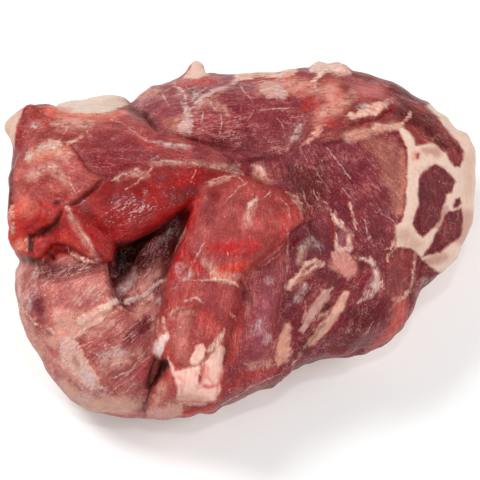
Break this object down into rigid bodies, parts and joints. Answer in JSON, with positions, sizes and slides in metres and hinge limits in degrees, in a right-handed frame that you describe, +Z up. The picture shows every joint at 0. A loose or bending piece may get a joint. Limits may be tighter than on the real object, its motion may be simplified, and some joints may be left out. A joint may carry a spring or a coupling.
{
  "type": "raw boneless pork butt",
  "caption": "Whole raw boneless pork shoulder roast: a rounded block of marbled muscle with loose folded flaps on its open face and a fat cap underneath.",
  "frame": {"origin": "middle of the bounding box at the resting face", "axes": "+X across the open face along the longest side, +Z up from the table, -Y to the side that the open face looks towards"},
  "size_m": [0.2842, 0.2266, 0.1089],
  "materials": {
    "meat": "moist raw muscle with creamy fat, soft wet shine"
  },
  "bodies": {
    "root": {"pork_butt": "meat"}
  },
  "joints": []
}
